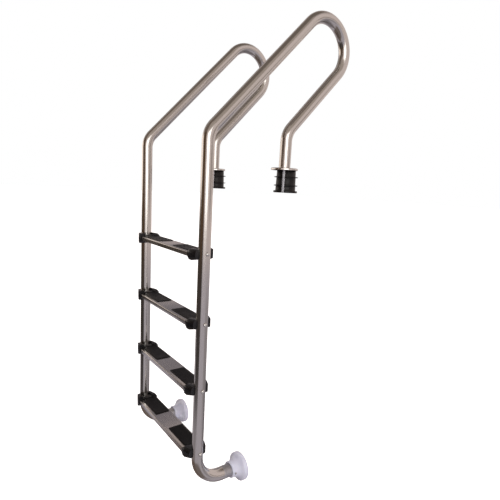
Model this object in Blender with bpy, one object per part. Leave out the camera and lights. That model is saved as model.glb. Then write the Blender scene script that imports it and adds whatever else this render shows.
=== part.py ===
"""Pool ladder for a deck-anchored swimming pool.

Two bent stainless rails carry four folded treads between plastic end caps.
Each rail stands in a split anchor sleeve set in the deck, under a loose
cover ring, and ends in a rubber foot that bears on the pool wall.

Frame: metres, +Z up, +X to the right of a bather facing the wall, +Y from the
pool towards the deck. The origin is midway between the two anchors, at the
level of the deck surface.
"""

import math

import bmesh
import bpy
from mathutils import Matrix, Vector

# Rails
TUBE_R = 0.0215
TUBE_WALL = 0.0015
TUBE_SIDES = 18
RAIL_SPACING = 0.500
RAIL_LEAN = math.radians(44.0)
RAIL_BEND_R = 0.075
LOOP_R = 0.110
FRONT_SLOPE = 0.566
REAR_SLOPE = 0.312
LOWER_BEND_R = 0.108
BEND_STEP = math.radians(12.9)
FOOT_END_SWELL = 1.16
SWELL_START = math.radians(45.0)

# Steps
STEP_COUNT = 4
STEP_PITCH = 0.250
TOP_BOLT_BELOW_DECK = 0.300
RAIL_BEND_ABOVE_TOP_BOLT = 0.374

# Treads
TREAD_HALF_LENGTH = 0.212
TREAD_HALF_DEPTH = 0.041
TREAD_TOP = 0.0027
TREAD_FLANGE = 0.0165
TREAD_SHEET = 0.0015
TREAD_FOLD_R = 0.0030
PAD_LENGTH = 0.145
PAD_INNER_END = 0.061
PAD_FRONT = -0.027
PAD_REAR = 0.035
PAD_THICKNESS = 0.0020
PAD_CUT_CORNER = 0.0125

# End caps, measured from the bolt axis on the rail's centreline
CAP_INNER = -0.0425
CAP_STEP = -0.036
CAP_TAPER = -0.026
CAP_OUTER = 0.0
CAP_LOW_TOP = 0.0070
CAP_HIGH_TOP = 0.0143
CAP_LOW_HALF = 0.0437
CAP_HIGH_HALF = 0.0450
CAP_OUTER_HALF = 0.0355
CAP_LOW_OUTER = -0.025
CAP_LOW_BOTTOM = -0.0178
CAP_HIGH_BOTTOM = -0.0262
CAP_OUTER_BOTTOM = -0.0185
CAP_LOW_CORNER_R = 0.0060
CAP_HIGH_CORNER_R = 0.0130
CAP_SHARP_R = 0.0020
CAP_CROWN_R = 0.0140
CAP_NOTCH_HALF = 0.0205
CAP_NOTCH_FLOOR = 0.0074
PLUG_INNER = -0.062
PLUG_HALF = 0.0390
PLUG_TOP = 0.0008
PLUG_BOTTOM = -0.0140

# M8 fasteners
BOLT_R = 0.0040
BOLT_HOLE_R = 0.0045
BOLT_HEAD_R = 0.0068
BOLT_HEAD_H = 0.0044
BOLT_TIP = -0.0372
BOLT_SIDES = 10
SOCKET_FLATS = 0.0050
SOCKET_DEPTH = 0.0022
NUT_FLATS = 0.0130
NUT_INNER = -0.0372
NUT_OUTER = -0.0307
NUT_BORE_R = 0.0045
NUT_SLOT_FLATS = 0.0137

# Feet, measured along the foot's own axis from the end of the rail's bend
FOOT_DROP = 0.883
FOOT_START = 0.149
FOOT_FACE = 0.207
RAIL_FOOT_END = 0.184
FOOT_BORE_R = 0.0256
FOOT_COLLAR_R = 0.0320
FOOT_FLARE_R = 0.0420
FOOT_RIM_R = 0.0555
FOOT_RIM_THICK = 0.0190
FOOT_SCREW_ALONG = 0.159
SCREW_R = 0.0020
SCREW_HOLE_R = 0.0024
SCREW_HEAD_R = 0.0042

# Anchors, measured from the deck surface
SLEEVE_TOP = 0.0062
SLEEVE_BOTTOM = -0.0830
SLEEVE_BORE_R = 0.0221
SLEEVE_OFFSET = 0.0110
SLEEVE_TOP_R = 0.0352
SLEEVE_LOW_R = 0.0378
FIN_R = 0.0446
FIN_THICK = 0.0044
FIN_LEVELS = (-0.0250, -0.0560)
RIM_R = 0.0450
RIM_HEIGHT = 0.0080
SLIT_WIDTH = 0.0110
SLIT_AZIMUTH = math.radians(-42.0)
RAIL_ANCHOR_END = -0.0800
COVER_R = 0.0505
COVER_HOLE_R = 0.0226
COVER_SHEET = 0.0012
COVER_HEIGHT = 0.0078
COVER_CORNER_R = 0.0035

GAP = 0.0003
SIDES = {"left": -1.0, "right": 1.0}
SMOOTH_ANGLE = math.radians(35.0)


def rail_offset():
    """Distance from the steps' rail centreline to the anchored leg, along Y."""
    along_slopes = (FRONT_SLOPE - REAR_SLOPE) * math.sin(RAIL_LEAN)
    across_loop = 2.0 * LOOP_R * math.cos(RAIL_LEAN)
    return along_slopes + across_loop


RAIL_Y = -rail_offset()
TOP_BOLT_Z = -TOP_BOLT_BELOW_DECK
FOOT_Z = TOP_BOLT_Z - FOOT_DROP


def clear_scene():
    for obj in list(bpy.data.objects):
        bpy.data.objects.remove(obj, do_unlink=True)


def make_material(name, colour, roughness, metallic):
    material = bpy.data.materials.new(name)
    material.use_nodes = True
    shader = material.node_tree.nodes["Principled BSDF"]
    shader.inputs["Base Color"].default_value = (*colour, 1.0)
    shader.inputs["Roughness"].default_value = roughness
    shader.inputs["Metallic"].default_value = metallic
    return material


def make_materials():
    return {
        "rail": make_material("stainless_tube", (0.60, 0.57, 0.53), 0.30, 1.0),
        "tread": make_material("stainless_sheet", (0.55, 0.52, 0.51), 0.34, 1.0),
        "pad": make_material("pad_rubber", (0.018, 0.017, 0.018), 0.75, 0.0),
        "cap": make_material("cap_plastic", (0.016, 0.016, 0.018), 0.42, 0.0),
        "bolt": make_material("bolt_steel", (0.66, 0.65, 0.64), 0.25, 1.0),
        "nut": make_material("nut_steel", (0.58, 0.57, 0.56), 0.35, 1.0),
        "foot": make_material("foot_rubber", (0.72, 0.71, 0.77), 0.45, 0.0),
        "screw": make_material("screw_steel", (0.50, 0.50, 0.50), 0.35, 1.0),
        "sleeve": make_material("sleeve_plastic", (0.020, 0.020, 0.021), 0.50, 0.0),
        "cover": make_material("cover_steel", (0.66, 0.64, 0.62), 0.28, 1.0),
    }


def set_material(mesh, material):
    mesh.materials.clear()
    mesh.materials.append(material)
    for polygon in mesh.polygons:
        polygon.material_index = 0


def smooth(mesh):
    mesh.shade_smooth()
    mesh.set_sharp_from_angle(angle=SMOOTH_ANGLE)


def add_object(name, mesh):
    obj = bpy.data.objects.new(name, mesh)
    bpy.context.scene.collection.objects.link(obj)
    return obj


def mesh_from(bm, name):
    bmesh.ops.recalc_face_normals(bm, faces=bm.faces[:])
    mesh = bpy.data.meshes.new(name)
    bm.to_mesh(mesh)
    bm.free()
    return mesh


def bake(obj, material):
    """Keep the evaluated shape as plain mesh data."""
    graph = bpy.context.evaluated_depsgraph_get()
    mesh = bpy.data.meshes.new_from_object(obj.evaluated_get(graph))
    mesh.name = obj.name
    obj.modifiers.clear()
    obj.data = mesh
    set_material(mesh, material)
    smooth(mesh)
    return mesh


def weld(mesh):
    """Close the hairline splits that a Boolean can leave along a cut."""
    bm = bmesh.new()
    bm.from_mesh(mesh)
    bmesh.ops.remove_doubles(bm, verts=bm.verts[:], dist=0.00002)
    bmesh.ops.dissolve_degenerate(bm, edges=bm.edges[:], dist=0.00002)
    bm.to_mesh(mesh)
    bm.free()
    return mesh


def combine(obj, other_mesh, operation):
    """Boolean one mesh into an object, through a helper that is then removed."""
    helper = add_object("helper", other_mesh)
    helper.hide_render = True
    helper.display_type = "WIRE"
    modifier = obj.modifiers.new("combine", "BOOLEAN")
    modifier.operation = operation
    modifier.solver = "EXACT"
    modifier.object = helper
    graph = bpy.context.evaluated_depsgraph_get()
    mesh = bpy.data.meshes.new_from_object(obj.evaluated_get(graph))
    obj.modifiers.clear()
    obj.data = weld(mesh)
    bpy.data.objects.remove(helper, do_unlink=True)


def prism(outline, start, end):
    """Solid bar along X whose cross-section is an outline of (y, z) points."""
    bm = bmesh.new()
    corners = [bm.verts.new((start, y, z)) for y, z in outline]
    face = bm.faces.new(corners)
    grown = bmesh.ops.extrude_face_region(bm, geom=[face])
    moved = [item for item in grown["geom"] if isinstance(item, bmesh.types.BMVert)]
    bmesh.ops.translate(bm, verts=moved, vec=(end - start, 0.0, 0.0))
    return mesh_from(bm, "prism")


def slab(outline, low, high):
    """Solid plate whose plan is an outline of (x, y) points."""
    bm = bmesh.new()
    face = bm.faces.new([bm.verts.new((x, y, low)) for x, y in outline])
    grown = bmesh.ops.extrude_face_region(bm, geom=[face])
    moved = [item for item in grown["geom"] if isinstance(item, bmesh.types.BMVert)]
    bmesh.ops.translate(bm, verts=moved, vec=(0.0, 0.0, high - low))
    return mesh_from(bm, "slab")


def cylinder(radius, start, end, axis, sides, centre=(0.0, 0.0, 0.0)):
    """Closed cylinder along X, Y or Z, between two levels on that axis."""
    turn = {
        "X": Matrix.Rotation(math.radians(90.0), 4, "Y"),
        "Y": Matrix.Rotation(math.radians(-90.0), 4, "X"),
        "Z": Matrix.Identity(4),
    }[axis]
    unit = {"X": Vector((1, 0, 0)), "Y": Vector((0, 1, 0)), "Z": Vector((0, 0, 1))}[axis]
    middle = Vector(centre) + unit * (0.5 * (start + end))
    bm = bmesh.new()
    bmesh.ops.create_cone(
        bm,
        cap_ends=True,
        segments=sides,
        radius1=radius,
        radius2=radius,
        depth=abs(end - start),
        matrix=Matrix.Translation(middle) @ turn,
    )
    return mesh_from(bm, "cylinder")


def hexagon(flats, start, end):
    """Six-sided bar along X with flats above and below."""
    radius = flats / math.sqrt(3.0)
    outline = []
    for index in range(6):
        angle = math.radians(60.0 * index)
        outline.append((radius * math.cos(angle), radius * math.sin(angle)))
    return prism(outline, start, end)


def arc_points(centre, radius, start, end, count):
    points = []
    for index in range(count + 1):
        angle = start + (end - start) * index / count
        x = centre[0] + radius * math.cos(angle)
        y = centre[1] + radius * math.sin(angle)
        points.append((x, y))
    return points


def turned(profile, sides, axis_ends):
    """Solid of revolution about Z from (radius, height) points.

    With axis_ends the first and last points lie on the axis; otherwise the
    profile is a closed loop that makes a ring.
    """
    bm = bmesh.new()
    rings = []
    for radius, height in profile:
        if radius == 0.0:
            rings.append([bm.verts.new((0.0, 0.0, height))])
            continue
        ring = []
        for index in range(sides):
            angle = 2.0 * math.pi * index / sides
            ring.append(bm.verts.new((radius * math.cos(angle), radius * math.sin(angle), height)))
        rings.append(ring)
    last = len(rings) if not axis_ends else len(rings) - 1
    for index in range(last):
        lower = rings[index]
        upper = rings[(index + 1) % len(rings)]
        for step in range(sides):
            following = (step + 1) % sides
            if len(lower) == 1:
                bm.faces.new((lower[0], upper[step], upper[following]))
            elif len(upper) == 1:
                bm.faces.new((lower[step], lower[following], upper[0]))
            else:
                bm.faces.new((lower[step], lower[following], upper[following], upper[step]))
    return mesh_from(bm, "turned")


def rail_path():
    """Centreline of a rail as (y, z) points, from the foot to the anchor."""
    points = [(RAIL_Y + RAIL_FOOT_END, FOOT_Z)]
    count = round(math.radians(90.0) / BEND_STEP)
    centre = (RAIL_Y + LOWER_BEND_R, FOOT_Z + LOWER_BEND_R)
    points += arc_points(centre, LOWER_BEND_R, math.radians(270.0), math.radians(180.0), count)
    count = round(RAIL_LEAN / BEND_STEP)
    bend_z = TOP_BOLT_Z + RAIL_BEND_ABOVE_TOP_BOLT
    centre = (RAIL_Y + RAIL_BEND_R, bend_z)
    points += arc_points(centre, RAIL_BEND_R, math.pi, math.pi - RAIL_LEAN, count)
    along = Vector((math.sin(RAIL_LEAN), math.cos(RAIL_LEAN)))
    across = Vector((math.cos(RAIL_LEAN), -math.sin(RAIL_LEAN)))
    loop_start = Vector(points[-1]) + along * FRONT_SLOPE
    centre = loop_start + across * LOOP_R
    count = round(math.pi / BEND_STEP)
    loop = arc_points(centre, LOOP_R, math.pi - RAIL_LEAN, -RAIL_LEAN, count)
    points += loop
    slope_end = Vector(loop[-1]) - along * REAR_SLOPE
    centre = slope_end + across * RAIL_BEND_R
    count = round(RAIL_LEAN / BEND_STEP)
    points += arc_points(centre, RAIL_BEND_R, math.pi - RAIL_LEAN, math.pi, count)
    points.append((points[-1][0], RAIL_ANCHOR_END))
    return points


def swell(y, z):
    """Radius factor: the tube opens up past the lower bend, towards the foot."""
    centre = (RAIL_Y + LOWER_BEND_R, FOOT_Z + LOWER_BEND_R)
    if z > centre[1] or y > centre[0]:
        return FOOT_END_SWELL if y > centre[0] and z < TOP_BOLT_Z - 0.5 else 1.0
    turn = math.atan2(centre[1] - z, centre[0] - y)
    share = (turn - SWELL_START) / (math.radians(90.0) - SWELL_START)
    share = min(max(share, 0.0), 1.0)
    return 1.0 + (FOOT_END_SWELL - 1.0) * share * share * (3.0 - 2.0 * share)


def tube_mesh(points):
    """Bent tube along (y, z) points, from a bevelled curve with a solid wall."""
    curve = bpy.data.curves.new("rail_line", "CURVE")
    curve.dimensions = "3D"
    curve.bevel_depth = TUBE_R
    curve.bevel_resolution = TUBE_SIDES // 2 - 2
    curve.use_fill_caps = False
    spline = curve.splines.new("POLY")
    spline.points.add(len(points) - 1)
    for point, (y, z) in zip(spline.points, points):
        point.co = (0.0, y, z, 1.0)
        point.radius = swell(y, z)
    line = add_object("rail_line", curve)
    graph = bpy.context.evaluated_depsgraph_get()
    mesh = bpy.data.meshes.new_from_object(line.evaluated_get(graph))
    bpy.data.objects.remove(line, do_unlink=True)
    bm = bmesh.new()
    bm.from_mesh(mesh)
    bmesh.ops.remove_doubles(bm, verts=bm.verts[:], dist=0.00001)
    return mesh_from(bm, "tube")


def build_rails(materials):
    for label, side in SIDES.items():
        rail = add_object("rail_" + label, tube_mesh(rail_path()))
        wall = rail.modifiers.new("wall", "SOLIDIFY")
        wall.thickness = TUBE_WALL
        wall.offset = -1.0
        wall.use_even_offset = True
        bake(rail, materials["rail"])
        for index in range(STEP_COUNT):
            level = TOP_BOLT_Z - index * STEP_PITCH
            centre = (0.0, RAIL_Y, level)
            hole = cylinder(BOLT_HOLE_R, -0.04, 0.04, "X", BOLT_SIDES, centre)
            combine(rail, hole, "DIFFERENCE")
        centre = (0.0, RAIL_Y + FOOT_SCREW_ALONG, FOOT_Z)
        ends = sorted((side * 0.010, side * 0.040))
        hole = cylinder(SCREW_HOLE_R, ends[0], ends[1], "X", 10, centre)
        combine(rail, hole, "DIFFERENCE")
        bake(rail, materials["rail"])
        rail.location = (side * RAIL_SPACING / 2.0, 0.0, 0.0)


def tread_line():
    """Mid-line of the folded tread, front flange to rear flange, as (y, z)."""
    half = TREAD_HALF_DEPTH
    top = TREAD_TOP
    low = TREAD_TOP - TREAD_FLANGE
    r = TREAD_FOLD_R
    points = [(-half, low)]
    points += arc_points((-half + r, top - r), r, math.pi, math.pi / 2.0, 4)
    points += arc_points((half - r, top - r), r, math.pi / 2.0, 0.0, 4)
    points.append((half, low))
    return points


def tread_mesh():
    """Folded sheet channel, open below, as a surface before it gets its wall."""
    bm = bmesh.new()
    points = tread_line()
    left = [bm.verts.new((-TREAD_HALF_LENGTH, y, z)) for y, z in points]
    edges = []
    for first, second in zip(left, left[1:]):
        edges.append(bm.edges.new((first, second)))
    grown = bmesh.ops.extrude_edge_only(bm, edges=edges)
    moved = [item for item in grown["geom"] if isinstance(item, bmesh.types.BMVert)]
    bmesh.ops.translate(bm, verts=moved, vec=(2.0 * TREAD_HALF_LENGTH, 0.0, 0.0))
    up = [face for face in bm.faces if abs(face.normal.z) > 0.9]
    bm.normal_update()
    if up and sum(face.normal.z for face in bm.faces) < 0.0:
        bmesh.ops.reverse_faces(bm, faces=bm.faces[:])
    mesh = bpy.data.meshes.new("tread")
    bm.to_mesh(mesh)
    bm.free()
    return mesh


def pad_mesh():
    """Flat pad, its middle end at X = 0, with its two outer corners cut off."""
    cut = PAD_CUT_CORNER
    r = 0.0025
    outline = arc_points((r, PAD_FRONT + r), r, math.pi, 1.5 * math.pi, 2)
    outline += [(PAD_LENGTH - cut, PAD_FRONT), (PAD_LENGTH, PAD_FRONT + cut)]
    outline += [(PAD_LENGTH, PAD_REAR - cut), (PAD_LENGTH - cut, PAD_REAR)]
    outline += arc_points((r, PAD_REAR - r), r, 0.5 * math.pi, math.pi, 2)
    bm = bmesh.new()
    bm.from_mesh(slab(outline, 0.0, PAD_THICKNESS))
    top = [e for e in bm.edges if all(v.co.z > 0.9 * PAD_THICKNESS for v in e.verts)]
    bmesh.ops.bevel(bm, geom=top, offset=0.0007, segments=1, affect="EDGES")
    return mesh_from(bm, "pad")


def cap_outline(half, top, bottom, crown, corner):
    """Outline as (y, z): rounded towards -Y, nearly square towards +Y."""
    s = CAP_SHARP_R
    points = arc_points((-half + crown, top - crown), crown, 0.5 * math.pi, math.pi, 4)
    points += arc_points((-half + corner, bottom + corner), corner, math.pi, 1.5 * math.pi, 4)
    points += [(half - s, bottom), (half, bottom + s), (half, top - s), (half - s, top)]
    return points


def narrowed_bar(outline, stations):
    """Solid along X; each (x, width, depth) station scales the outline's Y and its Z below 0."""
    bm = bmesh.new()
    rings = []
    for x, width, depth in stations:
        ring = [(x, y * width, z * depth if z < 0.0 else z) for y, z in outline]
        rings.append([bm.verts.new(point) for point in ring])
    for near, far in zip(rings, rings[1:]):
        for i in range(len(outline)):
            j = (i + 1) % len(outline)
            bm.faces.new((near[i], near[j], far[j], far[i]))
    bm.faces.new(rings[0])
    bm.faces.new(rings[-1])
    return mesh_from(bm, "narrowed_bar")


def pocket_outline():
    """Outline of the tread's end, grown by the assembly gap."""
    grow = GAP + 0.0002
    half = TREAD_HALF_DEPTH + grow
    top = TREAD_TOP + grow
    low = TREAD_TOP - TREAD_FLANGE - grow
    r = TREAD_FOLD_R
    points = [(-half, low)]
    points += arc_points((-half + r, top - r), r, math.pi, math.pi / 2.0, 4)
    points += arc_points((half - r, top - r), r, math.pi / 2.0, 0.0, 4)
    points.append((half, low))
    return points


def cap_mesh(materials):
    """End cap: two cheeks that hug the rail, a tread pocket and a plug under the tread."""
    outline = cap_outline(
        CAP_HIGH_HALF, CAP_HIGH_TOP, CAP_HIGH_BOTTOM, CAP_CROWN_R, CAP_HIGH_CORNER_R
    )
    width = CAP_OUTER_HALF / CAP_HIGH_HALF
    depth = CAP_OUTER_BOTTOM / CAP_HIGH_BOTTOM
    stations = [(CAP_STEP, 1.0, 1.0), (CAP_TAPER, 1.0, 1.0), (CAP_OUTER, width, depth)]
    cap = add_object("cap", narrowed_bar(outline, stations))
    notch = [
        (CAP_STEP - 0.02, -CAP_NOTCH_HALF),
        (CAP_OUTER, -CAP_NOTCH_HALF),
        (CAP_OUTER, CAP_NOTCH_HALF),
        (CAP_STEP - 0.02, CAP_NOTCH_HALF),
    ]
    combine(cap, slab(notch, CAP_NOTCH_FLOOR, 0.06), "DIFFERENCE")
    outline = cap_outline(CAP_LOW_HALF, CAP_LOW_TOP, CAP_LOW_BOTTOM, 0.0020, CAP_LOW_CORNER_R)
    combine(cap, prism(outline, CAP_INNER, CAP_LOW_OUTER), "UNION")
    pocket_end = -(RAIL_SPACING / 2.0 - TREAD_HALF_LENGTH) + GAP
    combine(cap, prism(pocket_outline(), CAP_INNER - 0.01, pocket_end), "DIFFERENCE")
    plug = [
        (-PLUG_HALF, PLUG_BOTTOM),
        (PLUG_HALF, PLUG_BOTTOM),
        (PLUG_HALF, PLUG_TOP - 0.0045),
        (PLUG_HALF - 0.0045, PLUG_TOP),
        (-PLUG_HALF + 0.0045, PLUG_TOP),
        (-PLUG_HALF, PLUG_TOP - 0.0045),
    ]
    combine(cap, prism(plug, PLUG_INNER, CAP_STEP + 0.004), "UNION")
    combine(cap, cylinder(TUBE_R + 0.0006, -0.06, 0.06, "Z", 28), "DIFFERENCE")
    combine(cap, hexagon(NUT_SLOT_FLATS, PLUG_INNER - 0.01, NUT_OUTER + GAP), "DIFFERENCE")
    combine(cap, cylinder(BOLT_HOLE_R, -0.034, 0.0, "X", BOLT_SIDES), "DIFFERENCE")
    mesh = bake(cap, materials["cap"])
    bpy.data.objects.remove(cap, do_unlink=True)
    return mesh


def bolt_mesh(materials):
    """Button-head bolt along X, its head outside the rail at positive X."""
    seat = TUBE_R + GAP
    profile = [(0.0, BOLT_TIP), (BOLT_R - 0.0006, BOLT_TIP), (BOLT_R, BOLT_TIP + 0.0006)]
    profile += [(BOLT_R, seat), (BOLT_HEAD_R, seat), (BOLT_HEAD_R, seat + 0.0010)]
    profile += [(BOLT_HEAD_R * 0.86, seat + 0.0028), (BOLT_HEAD_R * 0.60, seat + 0.0039)]
    profile += [(BOLT_HEAD_R * 0.50, seat + BOLT_HEAD_H), (0.0, seat + BOLT_HEAD_H)]
    body = turned(profile, BOLT_SIDES, True)
    body.transform(Matrix.Rotation(math.radians(90.0), 4, "Y"))
    bolt = add_object("bolt", body)
    top = seat + BOLT_HEAD_H
    combine(bolt, hexagon(SOCKET_FLATS, top - SOCKET_DEPTH, top + 0.01), "DIFFERENCE")
    mesh = bake(bolt, materials["bolt"])
    bpy.data.objects.remove(bolt, do_unlink=True)
    return mesh


def nut_mesh(materials):
    nut = add_object("nut", hexagon(NUT_FLATS, NUT_INNER, NUT_OUTER))
    bore = cylinder(NUT_BORE_R, NUT_INNER - 0.01, NUT_OUTER + 0.01, "X", BOLT_SIDES)
    combine(nut, bore, "DIFFERENCE")
    mesh = bake(nut, materials["nut"])
    bpy.data.objects.remove(nut, do_unlink=True)
    return mesh


def place(name, mesh, location, turned_round):
    obj = add_object(name, mesh)
    obj.location = location
    if turned_round:
        obj.rotation_euler = (0.0, 0.0, math.pi)
    return obj


def build_steps(materials):
    cap = cap_mesh(materials)
    bolt = bolt_mesh(materials)
    nut = nut_mesh(materials)
    pads = {}
    for label, side in SIDES.items():
        pads[label] = pad_mesh()
        pads[label].transform(Matrix.Diagonal((side, 1.0, 1.0, 1.0)))
        if side < 0.0:
            pads[label].flip_normals()
        set_material(pads[label], materials["pad"])
        smooth(pads[label])
    for index in range(STEP_COUNT):
        level = TOP_BOLT_Z - index * STEP_PITCH
        step = "step_%d" % (index + 1)
        tread = add_object(step + "_tread", tread_mesh())
        wall = tread.modifiers.new("wall", "SOLIDIFY")
        wall.thickness = TREAD_SHEET
        wall.offset = -1.0
        wall.use_even_offset = True
        bake(tread, materials["tread"])
        tread.location = (0.0, RAIL_Y, level)
        for label, side in SIDES.items():
            turn = side < 0.0
            joint = (side * RAIL_SPACING / 2.0, RAIL_Y, level)
            place(step + "_cap_" + label, cap, joint, turn)
            place(step + "_bolt_" + label, bolt, joint, turn)
            place(step + "_nut_" + label, nut, joint, turn)
            inner_end = (side * PAD_INNER_END, RAIL_Y, level + TREAD_TOP + GAP)
            place(step + "_pad_" + label, pads[label], inner_end, False)


def foot_mesh(materials, side):
    """Bell-shaped foot about its own axis, hollow at both ends."""
    start = FOOT_START
    face = FOOT_FACE
    collar = FOOT_COLLAR_R
    rim = FOOT_RIM_R
    profile = [(0.0, RAIL_FOOT_END + GAP), (FOOT_BORE_R, RAIL_FOOT_END + GAP)]
    profile += [(FOOT_BORE_R, start), (collar - 0.0012, start), (collar, start + 0.0012)]
    back = face - FOOT_RIM_THICK
    profile += [(collar, start + 0.0150), (0.0345, start + 0.0220)]
    profile += [(FOOT_FLARE_R, back - 0.0075), (0.0500, back - 0.0040), (rim - 0.0020, back)]
    profile += [(rim, back + 0.0030), (rim, face - 0.0050), (rim - 0.0025, face)]
    profile += [(rim - 0.0125, face), (0.0320, face - 0.0070), (0.0, face - 0.0100)]
    body = turned(profile, 20, True)
    body.transform(Matrix.Rotation(math.radians(-90.0), 4, "X"))
    foot = add_object("foot", body)
    ends = sorted((side * 0.012, side * 0.050))
    hole = cylinder(SCREW_HOLE_R, ends[0], ends[1], "X", 10, (0.0, FOOT_SCREW_ALONG, 0.0))
    combine(foot, hole, "DIFFERENCE")
    mesh = bake(foot, materials["foot"])
    bpy.data.objects.remove(foot, do_unlink=True)
    return mesh


def screw_mesh(materials):
    """Small pan-head screw along X, tip inwards."""
    seat = FOOT_COLLAR_R + GAP
    tip = 0.0190
    profile = [(0.0, tip - 0.0020), (SCREW_R, tip), (SCREW_R, seat)]
    profile += [(SCREW_HEAD_R, seat), (SCREW_HEAD_R, seat + 0.0010)]
    profile += [(SCREW_HEAD_R * 0.70, seat + 0.0022), (0.0, seat + 0.0026)]
    mesh = turned(profile, 10, True)
    mesh.transform(Matrix.Rotation(math.radians(90.0), 4, "Y"))
    set_material(mesh, materials["screw"])
    smooth(mesh)
    return mesh


def build_feet(materials):
    screw = screw_mesh(materials)
    for label, side in SIDES.items():
        x = side * RAIL_SPACING / 2.0
        place("foot_" + label, foot_mesh(materials, side), (x, RAIL_Y, FOOT_Z), False)
        seat = (x, RAIL_Y + FOOT_SCREW_ALONG, FOOT_Z)
        place("foot_screw_" + label, screw, seat, side < 0.0)


def sleeve_radius(level):
    """Outer radius of the tapered sleeve body at a height."""
    span = SLEEVE_BOTTOM + RIM_HEIGHT - SLEEVE_TOP
    return SLEEVE_TOP_R + (SLEEVE_LOW_R - SLEEVE_TOP_R) * (level - SLEEVE_TOP) / span


def sleeve_mesh(materials):
    """Tapered anchor sleeve with fins, a foot rim, an off-centre bore and a slit."""
    profile = [(0.0, SLEEVE_TOP)]
    profile += [(SLEEVE_TOP_R - 0.0010, SLEEVE_TOP), (SLEEVE_TOP_R, SLEEVE_TOP - 0.0010)]
    for level in FIN_LEVELS:
        above = level + FIN_THICK / 2.0
        below = level - FIN_THICK / 2.0
        profile += [(sleeve_radius(above), above), (FIN_R, level + FIN_THICK / 4.0)]
        profile += [(FIN_R, level - FIN_THICK / 4.0), (sleeve_radius(below), below)]
    rim = SLEEVE_BOTTOM + RIM_HEIGHT
    profile += [(SLEEVE_LOW_R, rim), (RIM_R, rim - 0.0015)]
    profile += [(RIM_R, SLEEVE_BOTTOM + 0.0015), (RIM_R - 0.0015, SLEEVE_BOTTOM)]
    profile.append((0.0, SLEEVE_BOTTOM))
    body = turned(profile, 24, True)
    body.transform(Matrix.Translation((0.0, SLEEVE_OFFSET, 0.0)))
    sleeve = add_object("sleeve", body)
    bore = cylinder(SLEEVE_BORE_R, SLEEVE_BOTTOM - 0.01, SLEEVE_TOP + 0.01, "Z", 24)
    combine(sleeve, bore, "DIFFERENCE")
    half = SLIT_WIDTH / 2.0
    slot = [(-half, SLEEVE_BOTTOM - 0.01), (half, SLEEVE_BOTTOM - 0.01)]
    slot += [(half, SLEEVE_TOP + 0.01), (-half, SLEEVE_TOP + 0.01)]
    slit = prism(slot, 0.010, 0.070)
    slit.transform(Matrix.Rotation(SLIT_AZIMUTH, 4, "Z"))
    combine(sleeve, slit, "DIFFERENCE")
    mesh = bake(sleeve, materials["sleeve"])
    bpy.data.objects.remove(sleeve, do_unlink=True)
    return mesh


def cover_mesh(materials):
    """Pressed cover ring: flat top with a hole, round shoulder, short skirt."""
    inner = COVER_R - COVER_SHEET
    under = COVER_HEIGHT - COVER_SHEET
    r = COVER_CORNER_R
    profile = [(COVER_HOLE_R, under), (COVER_HOLE_R, COVER_HEIGHT)]
    profile += arc_points((COVER_R - r, COVER_HEIGHT - r), r, math.pi / 2.0, 0.0, 3)
    profile += [(COVER_R, 0.0), (inner, 0.0)]
    inner_r = r - COVER_SHEET
    profile += arc_points((inner - inner_r, under - inner_r), inner_r, 0.0, math.pi / 2.0, 2)
    mesh = turned(profile, 30, False)
    set_material(mesh, materials["cover"])
    smooth(mesh)
    return mesh


def build_anchors(materials):
    sleeve = sleeve_mesh(materials)
    cover = cover_mesh(materials)
    for label, side in SIDES.items():
        x = side * RAIL_SPACING / 2.0
        place("anchor_sleeve_" + label, sleeve, (x, 0.0, 0.0), False)
        place("deck_cover_" + label, cover, (x, 0.0, 0.0), False)


def main():
    clear_scene()
    materials = make_materials()
    build_rails(materials)
    build_steps(materials)
    build_feet(materials)
    build_anchors(materials)


main()
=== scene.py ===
"""Look of the pool ladder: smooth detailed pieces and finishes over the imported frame."""

import math

import bmesh
import bpy
from mathutils import Matrix, Vector


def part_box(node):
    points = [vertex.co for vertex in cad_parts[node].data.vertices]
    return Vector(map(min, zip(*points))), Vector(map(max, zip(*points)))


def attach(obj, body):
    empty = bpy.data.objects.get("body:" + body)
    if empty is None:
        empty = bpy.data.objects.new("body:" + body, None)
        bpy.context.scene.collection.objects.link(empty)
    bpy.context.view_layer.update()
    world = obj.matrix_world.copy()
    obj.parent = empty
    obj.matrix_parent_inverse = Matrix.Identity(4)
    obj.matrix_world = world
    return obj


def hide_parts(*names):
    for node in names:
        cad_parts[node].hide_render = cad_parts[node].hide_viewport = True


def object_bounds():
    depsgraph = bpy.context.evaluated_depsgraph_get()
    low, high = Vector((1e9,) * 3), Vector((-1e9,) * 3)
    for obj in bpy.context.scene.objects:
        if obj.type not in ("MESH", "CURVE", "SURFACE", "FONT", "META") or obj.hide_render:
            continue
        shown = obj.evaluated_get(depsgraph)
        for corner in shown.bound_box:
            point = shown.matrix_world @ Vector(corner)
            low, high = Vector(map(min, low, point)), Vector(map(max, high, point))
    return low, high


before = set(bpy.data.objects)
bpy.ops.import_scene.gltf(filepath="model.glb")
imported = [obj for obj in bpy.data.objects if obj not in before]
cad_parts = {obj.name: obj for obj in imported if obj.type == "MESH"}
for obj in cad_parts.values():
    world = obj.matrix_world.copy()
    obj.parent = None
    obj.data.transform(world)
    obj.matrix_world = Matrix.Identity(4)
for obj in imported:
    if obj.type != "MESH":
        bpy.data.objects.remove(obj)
CAD_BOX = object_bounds()

SIDES = {"left": -1.0, "right": 1.0}
STEPS = (1, 2, 3, 4)


def centre(node):
    """Middle of a frame node's box."""
    low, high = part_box(node)
    return (low + high) / 2.0


# Places taken from the frame
RAIL_X = centre("rail_right").x
RAIL_Y = centre("step_1_bolt_right").y
STEP_Z = [centre("step_%d_bolt_right" % n).z for n in STEPS]
FOOT_Z = centre("foot_right").z
FOOT_LOW, FOOT_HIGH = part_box("foot_right")
SLEEVE_LOW, SLEEVE_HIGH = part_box("anchor_sleeve_right")
COVER_LOW, COVER_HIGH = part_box("deck_cover_right")

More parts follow.
